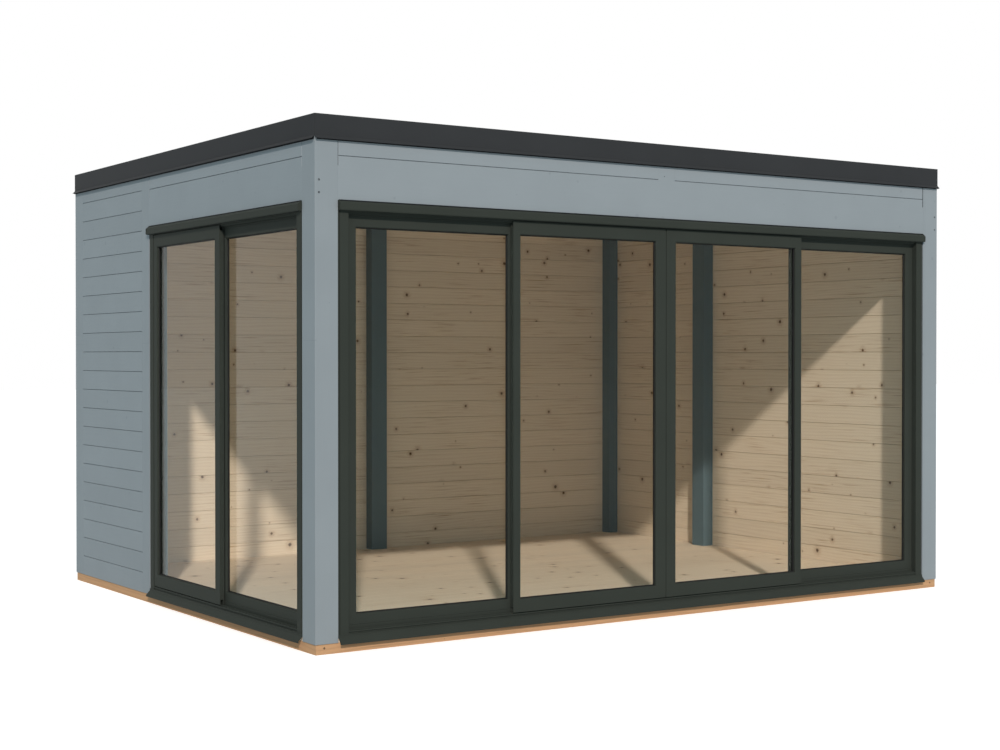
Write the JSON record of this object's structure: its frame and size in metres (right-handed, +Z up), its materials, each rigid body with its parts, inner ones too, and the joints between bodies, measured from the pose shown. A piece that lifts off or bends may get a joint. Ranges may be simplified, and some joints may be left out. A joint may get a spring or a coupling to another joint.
{
  "type": "garden office pod",
  "caption": "Flat-roofed timber garden office with board walls, a wide sliding glass front and a sliding glass door in its left side",
  "frame": {"origin": "on the ground at the middle of the wall rectangle, on the underside of the base timbers", "axes": "+X to the right seen from the front, +Y to the back wall, +Z up; the glazed front faces -Y and the side door faces -X"},
  "size_m": [4.2357, 3.2417, 2.5153],
  "materials": {
    "painted_wood": "satin paint",
    "base_wood": "impregnated, matt",
    "floor_wood": "sawn, matt",
    "door_aluminium": "anthracite powder coat",
    "roof_trim": "anthracite powder coat",
    "roof_sheet": "matt",
    "pane": "clear"
  },
  "bodies": {
    "cabin": {"long_base_beams": "base_wood", "side_base_beams": "base_wood", "floor_joists": "base_wood", "floor_boards": "floor_wood", "roof_boards": "floor_wood", "roof_kerb": "floor_wood", "main_beam": "floor_wood", "roof_beams": "floor_wood", "joist_ledger": "floor_wood", "back_wall": "painted_wood", "right_wall": "painted_wood", "left_wall": "painted_wood", "front_left_post": "painted_wood", "front_right_post": "painted_wood", "back_left_post": "painted_wood", "back_right_post": "painted_wood", "side_door_post": "painted_wood", "back_wall_post": "painted_wood", "right_wall_post": "painted_wood", "front_lintel": "painted_wood", "side_lintel": "painted_wood", "front_top_boards": "painted_wood", "side_top_board": "painted_wood", "roof_covering": "roof_sheet", "front_roof_trim": "roof_trim", "back_roof_trim": "roof_trim", "side_roof_trims": "roof_trim", "front_door_jambs": "door_aluminium", "front_door_head": "door_aluminium", "front_door_sill": "door_aluminium", "front_door_rain_cap": "door_aluminium", "side_door_jambs": "door_aluminium", "side_door_head": "door_aluminium", "side_door_sill": "door_aluminium", "side_door_rain_cap": "door_aluminium", "front_fixed_leaves": "door_aluminium", "side_fixed_leaf": "door_aluminium", "front_fixed_glass": "pane", "side_fixed_glass": "pane"},
    "front_left_door": {"front_left_slider": "door_aluminium", "front_left_slider_glass": "pane"},
    "front_right_door": {"front_right_slider": "door_aluminium", "front_right_slider_glass": "pane"},
    "side_door": {"side_slider": "door_aluminium", "side_slider_glass": "pane"}
  },
  "joints": [
    {"name": "front_left_slide", "type": "slide", "parent": "cabin", "child": "front_left_door", "axis": [-1, 0, 0], "range_m": [0, 0.92]},
    {"name": "front_right_slide", "type": "slide", "parent": "cabin", "child": "front_right_door", "axis": [1, 0, 0], "range_m": [0, 0.92]},
    {"name": "side_slide", "type": "slide", "parent": "cabin", "child": "side_door", "axis": [0, -1, 0], "range_m": [0, 0.87]}
  ]
}
